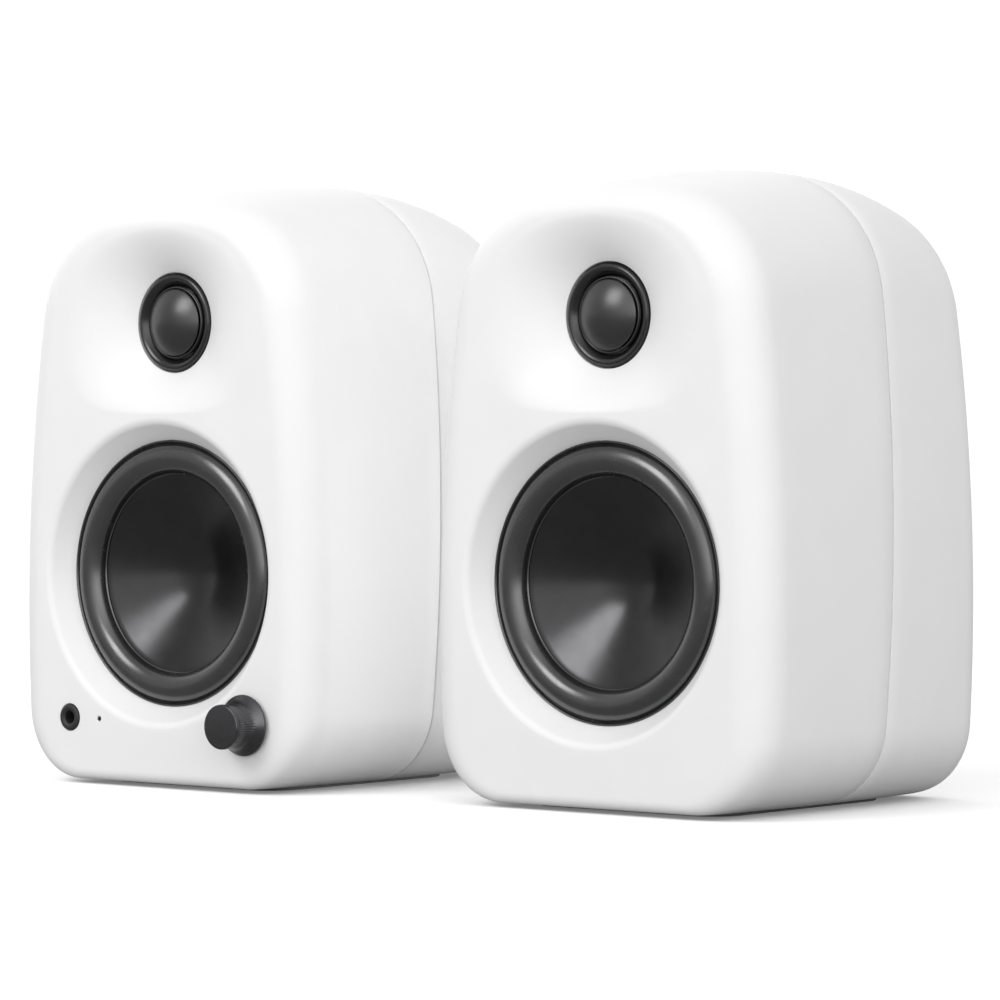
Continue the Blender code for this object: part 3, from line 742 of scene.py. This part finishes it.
def woofer(side):
    """Surround and cone of one woofer; heights are forward of the ring's plane."""
    at = (0.0, WOOFER_DEPTH, WOOFER_Z)
    moving = side + "woofer_moving"
    # The half roll is a little wider than it is tall and runs down to the cone's edge.
    crest = 32.55
    roll = [(crest + 4.3 * c, -1.9 + 3.7 * s) for c, s in arc((0, 0), 1.0, 20.0, 185.0, 28)]
    under = [(crest + 3.9 * c, -2.1 + 3.3 * s) for c, s in arc((0, 0), 1.0, 183.0, 22.0, 20)]
    rim = [(37.5, 0.0), (37.46, 0.2), (37.3, 0.3), (37.1, 0.2), (36.9, -0.1), (36.75, -0.35)]
    lip = [(28.2, -2.35), (28.05, -2.45), (27.95, -2.56), (28.1, -2.68), (28.6, -2.66)]
    profile = rim + roll + lip + under + [(36.5, -0.85), (37.1, -0.4), (37.5, -0.25)]
    surround = turned(side + "woofer_surround_roll", side, at, profile, "surround_rubber", None, sharp=60.0)
    stands_for(surround, side + "woofer_surround")
    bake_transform(surround)
    # The cone's flank is nearly straight and runs out into a round bottom with no dust cap.
    dish = 9.5
    flank = [(dish + (28.0 - dish) * t, -10.9 + 8.1 * t ** 1.03) for t in np.linspace(0, 1, 14)]
    bottom = [(r, -12.8 + 1.9 * (r / dish) ** 2) for r in np.linspace(0, dish, 10)[:-1]]
    edge = [(28.6, -2.76), (28.95, -2.8), (29.0, -2.9), (28.9, -3.15), (28.0, -3.4)]
    rear = [(9.6, -11.8), (4.5, -13.2), (0.0, -13.5)]
    profile = bottom + flank + edge + rear
    cone = turned(side + "woofer_cone_pressing", side, at, profile, "coated_cone", moving, sharp=50.0)
    stands_for(cone, side + "woofer_cone")


def tweeter(side):
    """Faceplate ring, suspension and dome; heights are forward of the ring's plane."""
    at = (0.0, TWEETER_DEPTH, TWEETER_Z)
    root = side + "cabinet"
    face = soften([(14.0, -1.2), (11.3, -1.2), (11.3, -5.5), (10.4, -5.5), (10.4, -1.5, 0.2),
                   (10.7, -0.9, 0.5), (11.8, 0.25, 0.9), (12.6, 0.72, 0.8), (13.3, 0.35, 0.5),
                   (13.75, -0.5, 0.2), (14.0, -0.7, 0.1)], True)
    plate = turned(side + "tweeter_faceplate_ring", side, at, face, "gloss_black_abs", root, sharp=50.0)
    stands_for(plate, side + "tweeter_faceplate")
    roll = arc((9.85, -0.6), 0.36, -20.0, 160.0, 12)
    ring = [(10.25, -0.9), (10.25, -0.75)] + roll + [(9.5, -0.55), (9.5, -0.9)]
    suspension = turned(side + "tweeter_suspension_roll", side, at, ring, "coated_silk", root, sharp=60.0)
    stands_for(suspension, side + "tweeter_suspension")
    centre = (0, -12.7)
    cap = arc(centre, 16.0, 90.0, 53.9, 26)
    inside = arc(centre, 15.6, 58.0, 90.0, 12)
    former = [(9.44, 0.1), (9.3, -0.15), (8.5, -0.2), (8.5, -5.6), (8.1, -5.6)]
    profile = [(0.0, cap[0][1])] + cap[1:] + former + inside[:-1] + [(0.0, inside[-1][1])]
    dome = turned(side + "tweeter_dome_pressing", side, at, profile, "coated_silk", side + "tweeter_moving",
                  sharp=50.0)
    stands_for(dome, side + "tweeter_dome")


def port_tube(side):
    """Reflex port with a flared, rounded mouth."""
    profile = soften([(15.0, 0.0, 0.6), (15.0, -1.5), (12.4, -1.5), (12.4, -PORT_LENGTH, 0.4),
                      (11.2, -PORT_LENGTH, 0.4), (11.2, -8.0, 14.0), (12.6, -2.0, 3.0), (14.2, 0.0, 0.3)],
                     True, 8)
    tube = turned(side + "port_tube_moulding", side, (0.0, DEPTH, PORT_Z), profile, "black_abs",
                  side + "cabinet", 96, back=True, sharp=50.0)
    stands_for(tube, side + "port_tube")


# ---------------------------------------------------------------- controls

def volume_knob():
    """Knob with a flat cap, a flared skirt and fine ribs on its neck."""
    profile = soften([(0.0, 10.5), (6.15, 10.5, 0.3), (6.2, 9.3, 0.3), (5.65, 8.6, 0.6), (5.75, 6.4, 3.0),
                      (6.6, 3.6, 4.0), (8.45, 1.75, 0.5), (8.55, 1.2, 0.3), (8.2, KNOB_FOOT, 0.2),
                      (3.35, KNOB_FOOT), (3.35, 7.6), (0.0, 7.6)], False, 6)
    # The outside gets rows close enough to carry the ribs; the bore for the shaft doesn't.
    shaft = 5.0
    dense = []
    for a, b in zip(profile, profile[1:]):
        parts = max(1, int(abs(a[1] - b[1]) / 0.35)) if min(a[0], b[0]) > shaft else 1
        dense += [(a[0] + (b[0] - a[0]) * k / parts, a[1] + (b[1] - a[1]) * k / parts) for k in range(parts)]
    dense.append(profile[-1])

    def ribs(angle, r, h):
        low, high = RIBS_SPAN
        if r < shaft or not low < h < high:
            return 0.0
        fade = min(1.0, (high - h) / 0.3, (h - low) / 0.8)
        return -RIB_DEPTH * fade * (0.5 + 0.5 * math.cos(RIBS * angle))
    knob = turned("volume_knob_turning", "active_", (KNOB[0], 0.0, KNOB[1]), dense, "knob_finish",
                  "volume_dial", 8 * RIBS, ripple=ribs, sharp=40.0)
    stands_for(knob, "volume_knob")


def headphone_jack():
    """Jack with a rounded collar, a bore and its spring contacts."""
    at = (JACK[0], 0.0, JACK[1])
    profile = soften([(0.0, -15.0), (1.8, -15.0), (1.8, 0.1, 0.35), (2.6, 0.55, 0.8), (3.3, 0.5, 0.4),
                      (3.7, 0.1, 0.2), (3.7, -12.0), (4.6, -12.3), (4.6, -21.5), (0.0, -21.5)], False, 6)
    jack = turned("headphone_jack_moulding", "active_", at, profile, "black_abs", "active_cabinet", 72,
                  sharp=40.0)
    stands_for(jack, "headphone_jack")
    ring = soften([(1.78, -6.2), (1.78, -7.4), (1.5, -7.2, 0.1), (1.5, -6.4, 0.1)], True)
    contact = turned("headphone_jack_contact", "active_", at, ring, "nickel_plate", "active_cabinet", 48)


def hexagon(angle, r, h):
    """Cut to radius that turns the widest rows, the fixing nut, into a hexagon."""
    if r < 5.0:
        return 0.0
    turn = (angle + math.pi / 6) % (math.pi / 3) - math.pi / 6
    return r * (0.87 / math.cos(turn) - 1.0)


def rear_sockets():
    """RCA, USB-C and power sockets, each with its insulator and contact."""
    root = "active_cabinet"
    barrel = soften([(3.4, 4.0), (3.4, 7.9, 0.1), (4.15, 7.9, 0.25), (4.15, 1.9), (6.0, 1.9, 0.2), (6.0, GAP),
                     (4.15, GAP), (4.15, -16.5), (3.0, -16.5), (3.0, 4.0)], True, 3)
    core = soften([(1.65, -5.0), (1.65, 7.3, 0.15), (3.36, 7.3, 0.15), (3.36, 4.1), (2.96, 4.1),
                   (2.96, -5.0)], True, 3)
    pin = soften([(0.95, -5.0), (0.95, 6.4, 0.1), (1.6, 6.4, 0.1), (1.6, -5.0)], True, 3)
    for name, x, colour in RCA_SOCKETS:
        at = (x, DEPTH, SOCKET_Z)
        shell = turned(name + "_barrel", "active_", at, barrel, "nickel_plate", root, 72, back=True,
                       ripple=hexagon)
        stands_for(shell, name)
        insulator = turned(name + "_insulator", "active_", at, core, colour, root, 48, back=True)
        contact = turned(name + "_contact", "active_", at, pin, "nickel_plate", root, 36, back=True)
    at = (POWER[0], DEPTH, POWER[1])
    cup = soften([(0.0, -9.5), (3.1, -9.5), (3.1, 0.35, 0.25), (3.6, 0.6, 0.2), (5.0, 0.6, 0.35),
                  (5.0, -16.5), (0.0, -16.5)], False, 5)
    inlet = turned("dc_inlet_moulding", "active_", at, cup, "black_abs", root, 72, back=True)
    stands_for(inlet, "dc_inlet")
    pin = [(0.0, -1.5), (0.6, -1.55), (0.95, -1.9), (1.0, -2.4), (1.0, -9.4), (0.0, -9.4)]
    turned("dc_inlet_pin", "active_", at, pin, "nickel_plate", root, 36, back=True)
    usb_socket()


def usb_socket():
    """USB-C shell as a drawn oval tube with its tongue inside."""
    def oval(half, tall, corner, y, steps):
        points = rounded_rectangle(half, SOCKET_Z - tall, SOCKET_Z + tall, corner, DEPTH + y, steps)
        return [(x + USB_X, py, z) for x, py, z in points]
    half, tall = 4.5, 1.7
    rows = ((0.0, -16.5), (0.0, 0.1), (-0.1, 0.2), (-0.3, 0.2), (-0.4, 0.1), (-0.4, -7.0))
    skin = Skin("active_")
    skin.block([oval(half + g, tall + g, min(tall + g - 0.05, 1.6), y, 6) for g, y in rows])
    shell = skin.finish("usb_c_socket_shell", "nickel_plate", "active_cabinet")
    stands_for(shell, "usb_c_socket")
    half, tall = 3.3, 0.35
    rows = ((0.0, -6.9), (0.0, -1.2), (-0.15, -1.0))
    tongue = Skin("active_")
    tongue.block([oval(half + g, tall + g / 2, 0.2, y, 3) for g, y in rows])
    tongue.finish("usb_c_socket_tongue", "tool_dark", "active_cabinet")


def plate(side, name, size, holes):
    """Connector panel with softened edges and its holes."""
    half, low, high = size
    skin = Skin(side)
    front = DEPTH - PANEL_THICK
    grow = ((0.0, front), (0.0, DEPTH - 0.25), (-0.08, DEPTH - 0.07), (-0.25, DEPTH), (-0.6, DEPTH))
    rings = skin.run([rounded_rectangle(half + g, low - g, high + g, PANEL_CORNER + g, y) for g, y in grow])
    cuts = []
    for hole in holes:
        edge = ((0.0, front), (0.0, DEPTH - 0.2), (0.06, DEPTH - 0.06), (0.2, DEPTH))
        cuts.append(skin.run([hole(g, y) for g, y in edge]))
    skin.fill([rings[0]] + [c[0] for c in cuts])
    skin.fill([rings[1]] + [c[1] for c in cuts])
    obj = skin.finish(name + "_moulding", "black_abs", side + "cabinet")
    stands_for(obj, name)


def round_hole(x, z, radius, steps=48):
    return lambda grow, y: circle((x, z), radius + grow, y, steps)


def box_hole(x, z, half, tall, corner):
    def ring(grow, y):
        points = rounded_rectangle(half + grow, z - tall - grow, z + tall + grow, corner + grow, y, 4)
        return [(px + x, py, pz) for px, py, pz in points]
    return ring


def fading(value, start, length):
    """1 up to start, then straight down to 0 over a length."""
    return 1 - min(max((value - start) / length, 0.0), 1.0)


def cross_head(node, x, z):
    """Pan-head screw: the cross recess is pressed into its crown."""
    skin = Skin("active_")
    steps = 64
    recess = 0.85
    made = []
    for r in np.linspace(0.25, 2.55, 16):
        points = []
        for k in range(steps):
            a = TAU * k / steps
            px, pz = r * math.cos(a), r * math.sin(a)
            crown = 1.5 - 0.55 * (r / 2.8) ** 2.4
            depth = recess * fading(min(abs(px), abs(pz)), 0.26, 0.14) * fading(r, 1.25, 0.45)
            points.append((x + px, DEPTH + crown - depth, z + pz))
        made.append(skin.ring(points))
    skin.fan(made[0], (x, DEPTH + 0.75, z))
    for r, h in ((2.74, 0.8), (2.8, 0.6), (2.8, GAP), (1.3, GAP), (1.3, -6.0)):
        made.append(skin.ring(circle((x, z), r, DEPTH + h, steps)))
    for a, b in zip(made, made[1:]):
        skin.bridge(a, b)
    skin.bm.faces.new(made[-1])
    stands_for(skin.finish(node + "_head", "black_steel", "active_cabinet", 40.0), node)


def clip_terminal(side):
    """Terminal block with a softened frame, the levers with finger ridges, and the wire holes."""
    x, z = CLIPS[side]
    skin = Skin(side)
    face_y, pocket_y = DEPTH + 2.0, DEPTH - 7.0
    outer = [(-0.5, DEPTH - 9.0), (-0.5, DEPTH), (0.0, DEPTH + 0.3), (0.0, face_y - 0.5),
             (-0.15, face_y - 0.15), (-0.5, face_y), (-0.8, face_y)]
    half, tall = CLIP_BLOCK
    body = skin.run([box_hole(x, z, half, tall, 2.0)(g, y) for g, y in outer])
    cuts = []
    for sign in (-1, 1):
        offset = sign * CLIP_SPACING / 2
        pocket = box_hole(x + offset, z + 2.8, 4.9, 5.8, 0.8)
        inner = skin.run([pocket(0.3, face_y), pocket(0.08, face_y - 0.08), pocket(0.0, face_y - 0.3),
                          pocket(0.0, pocket_y)])
        skin.bm.faces.new(inner[1])
        wire = round_hole(x + offset, z - 6.6, 1.5, 32)
        bore = skin.run([wire(0.6, face_y), wire(0.15, face_y - 0.5), wire(0.0, face_y - 0.8),
                         wire(0.0, pocket_y)])
        skin.bm.faces.new(bore[1])
        cuts += [inner[0], bore[0]]
    skin.fill([body[1]] + cuts)
    skin.bm.faces.new(body[0])
    block = skin.finish(side + "terminal_block_moulding", "black_abs", side + "cabinet", 40.0)
    stands_for(block, side + "terminal_block")
    for which, sign, look in (("positive", -1, "red_abs"), ("negative", 1, "black_abs")):
        clip_lever(side, which, (x + sign * CLIP_SPACING / 2, DEPTH, z + 6.0), look)


def clip_lever(side, which, pivot, look):
    """Lever with a dished, ridged finger tab."""
    skin = Skin(side)
    px, py, pz = pivot
    outline = soften([(-1.6, 1.6, 0.8), (-1.6, -6.5, 0.5), (1.0, -7.5, 0.3), (4.0, -7.5, 0.4),
                      (4.6, -6.4, 0.5), (3.95, -4.2), (2.6, 0.0, 0.6), (1.6, 1.6, 0.6)], True, 4)
    ridge, pitch = 0.12, 1.3
    inner = []
    for y, h in outline:
        dish = 0.0
        if y > 2.4 and h < -0.5:
            dish = ridge * (math.cos(TAU * (h + 0.5) / pitch) - 1)
        inner.append((y + dish, h))
    # The sides draw in towards the lever's middle height, which softens their edges.
    middle = 2.9
    rows = []
    for x, scale in ((-4.2, 0.94), (-4.1, 0.984), (-3.9, 1.0), (3.9, 1.0), (4.1, 0.984), (4.2, 0.94)):
        rows.append([(px + x, py + y * scale, pz + (h + middle) * scale - middle) for y, h in inner])
    skin.block(rows)
    lever = skin.finish("%sclip_lever_%s_tab" % (side, which), look, "%slever_%s" % (side, which), 45.0)
    stands_for(lever, "%sclip_lever_%s" % (side, which))


# ---------------------------------------------------------------- hidden pieces keep their CAD shape

def finish_carried_over():
    """Give each CAD piece that still shows its own finish, by its material slot."""
    slots = {entry["node"]: entry["material_slot"] for entry in frame["record"]["subparts"]}
    for node, obj in frame["nodes"].items():
        obj.data.materials.clear()
        obj.data.materials.append(material(slots[node]))


# ---------------------------------------------------------------- studio

FOCAL_MM = 161.58            # on a 36 mm sensor
CAMERA_AT = (728.3, -921.8, 99.1)    # in the passive cabinet's frame
CAMERA_TURN = 39.458
CAMERA_DIP = 0.877


def camera():
    data = bpy.data.cameras.new("camera")
    data.lens = FOCAL_MM
    data.sensor_width = 36.0
    data.clip_end = 20.0
    obj = bpy.data.objects.new("camera", data)
    bpy.context.scene.collection.objects.link(obj)
    obj.location = world("passive_", CAMERA_AT)
    obj.rotation_euler = (math.radians(90 - CAMERA_DIP), 0.0, math.radians(CAMERA_TURN))
    bpy.context.scene.camera = obj


def area_light(name, at, target, size, power):
    """Square soft light of a size in metres, aimed at a point."""
    data = bpy.data.lights.new(name, "AREA")
    data.shape = "RECTANGLE"
    data.size = size
    data.size_y = size
    data.energy = power
    obj = bpy.data.objects.new(name, data)
    bpy.context.scene.collection.objects.link(obj)
    obj.location = at
    direction = Vector(target) - Vector(at)
    obj.rotation_euler = direction.to_track_quat("-Z", "Y").to_euler()
    return obj


# Soft lobes of the light tent: azimuth (0 in front, towards the right), elevation, sharpness, strength
TENT = ((45.0, 5.0, 3.0, 1.5), (-120.0, 5.0, 3.0, 1.5), (75.0, 5.0, 2.0, 0.5))
TENT_BASE = 0.5
BACKDROP = 1.1               # strength of the plain white that the camera sees behind

# Lights: metres, watts, and the key's azimuth and elevation in degrees
KEY_FROM = (-12.0, 34.0)
KEY_DISTANCE = 1.5
KEY_SIZE = 0.65
KEY_POWER = 7.25
CARD_AT = (0.14, 0.22, 0.03)
CARD_AIM = (-0.02, 0.0, 0.05)
CARD_SIZE = 0.2
CARD_POWER = 0.4
SWEEP_SIZE = 6.0
SWEEP_LIFT = 0.15            # glow that keeps the seen floor white away from the shadows


def facing(azimuth, elevation):
    a, e = math.radians(azimuth), math.radians(elevation)
    return (math.sin(a) * math.cos(e), -math.cos(a) * math.cos(e), math.sin(e))


def tent():
    """The even white tent with its brighter panels; the camera sees plain white behind."""
    sky = bpy.data.worlds.new("light_tent")
    sky.use_nodes = True
    tree = sky.node_tree
    where = add(tree, "ShaderNodeTexCoord").outputs["Generated"]
    total = TENT_BASE
    for azimuth, elevation, sharpness, strength in TENT:
        towards = add(tree, "ShaderNodeVectorMath", {0: where, 1: facing(azimuth, elevation)},
                      operation="DOT_PRODUCT")
        ahead = add(tree, "ShaderNodeMath", {0: towards.outputs["Value"], 1: 0.0}, operation="MAXIMUM")
        lobe = add(tree, "ShaderNodeMath", {0: ahead.outputs["Value"], 1: sharpness}, operation="POWER")
        total = add(tree, "ShaderNodeMath", {0: lobe.outputs["Value"], 1: strength, 2: total},
                    operation="MULTIPLY_ADD").outputs["Value"]
    lit = tree.nodes["Background"]
    lit.inputs["Color"].default_value = (1.0, 1.0, 1.0, 1.0)
    tree.links.new(total, lit.inputs["Strength"])
    ray = add(tree, "ShaderNodeLightPath")
    seen = add(tree, "ShaderNodeBackground", {"Color": (1.0, 1.0, 1.0, 1.0), "Strength": BACKDROP})
    mix = add(tree, "ShaderNodeMixShader", {0: ray.outputs["Is Camera Ray"], 1: lit.outputs[0],
                                            2: seen.outputs[0]})
    tree.links.new(mix.outputs[0], tree.nodes["World Output"].inputs["Surface"])
    bpy.context.scene.world = sky


def floor():
    """Matt white sweep, lifted a little where it is seen and quiet where it bounces light."""
    bm = bmesh.new()
    bmesh.ops.create_grid(bm, x_segments=1, y_segments=1, size=SWEEP_SIZE)
    mesh = bpy.data.meshes.new("floor")
    bm.to_mesh(mesh)
    bm.free()
    sweep = bpy.data.objects.new("floor", mesh)
    bpy.context.scene.collection.objects.link(sweep)
    paper = bpy.data.materials.new("white_paper")
    paper.use_nodes = True
    tree = paper.node_tree
    bright = tree.nodes["Principled BSDF"]
    settle(bright, Base_Color=linear("#FFFFFF"), Roughness=1.0, Specular_IOR_Level=0.0,
           Emission_Color=(1.0, 1.0, 1.0, 1.0), Emission_Strength=SWEEP_LIFT)
    quiet = add(tree, "ShaderNodeBsdfDiffuse", {"Color": linear("#B4B4B4")})
    dim = add(tree, "ShaderNodeBsdfDiffuse", {"Color": linear("#8E8E8E")})
    ray = add(tree, "ShaderNodeLightPath")
    bounced = add(tree, "ShaderNodeMixShader", {0: ray.outputs["Is Glossy Ray"], 1: quiet.outputs[0],
                                                2: dim.outputs[0]})
    mix = add(tree, "ShaderNodeMixShader", {0: ray.outputs["Is Camera Ray"], 1: bounced.outputs[0],
                                            2: bright.outputs[0]})
    tree.links.new(mix.outputs[0], tree.nodes["Material Output"].inputs["Surface"])
    mesh.materials.append(paper)


def key():
    """Compact soft box in front, a little to the left and above."""
    middle = Vector((0.0, 0.0, 0.09))
    area_light("key", middle + KEY_DISTANCE * Vector(facing(*KEY_FROM)), middle, KEY_SIZE, KEY_POWER)


def side_fill():
    """A small low card behind the pair that opens up the active cabinet's right side."""
    card = area_light("side_card", CARD_AT, CARD_AIM, CARD_SIZE, CARD_POWER)
    card.visible_camera = False
    group = bpy.data.collections.new("lit_by_side_card")
    for obj in bpy.context.scene.objects:
        if obj.type == "MESH" and obj.bound_box and obj.name != "floor":
            middle = sum((obj.matrix_world @ Vector(c) for c in obj.bound_box), Vector()) / 8
            if middle.x < 0:
                group.objects.link(obj)
    card.light_linking.receiver_collection = group
    card.light_linking.blocker_collection = group


finish_carried_over()
for side, holes, size in (("active_", CONTROL_HOLES, PANEL), ("passive_", (), PLATE)):
    front_shell(side, holes)
    rear_shell(side, size)
    base_pad(side)
    woofer(side)
    tweeter(side)
    port_tube(side)
    clip_terminal(side)
volume_knob()
headphone_jack()
rear_sockets()
window = {side: box_hole(*CLIPS[side], CLIP_BLOCK[0] + GAP, CLIP_BLOCK[1] + GAP, 2.0) for side in CLIPS}
holes = [round_hole(x, SOCKET_Z, RCA_HOLE) for _, x, _ in RCA_SOCKETS]
holes += [box_hole(USB_X, SOCKET_Z, *USB_HOLE), round_hole(*POWER, POWER_HOLE), window["active_"]]
holes += [round_hole(x, z, SCREW_HOLE, 24) for x, z in SCREW_POINTS]
plate("active_", "active_rear_panel", PANEL, holes)
plate("passive_", "passive_terminal_plate", PLATE, [window["passive_"]])
for index, (x, z) in enumerate(SCREW_POINTS):
    cross_head("panel_screw_%d" % (index + 1), x, z)
camera()
tent()
floor()
key()
side_fill()
bpy.context.scene.view_settings.view_transform = "Standard"
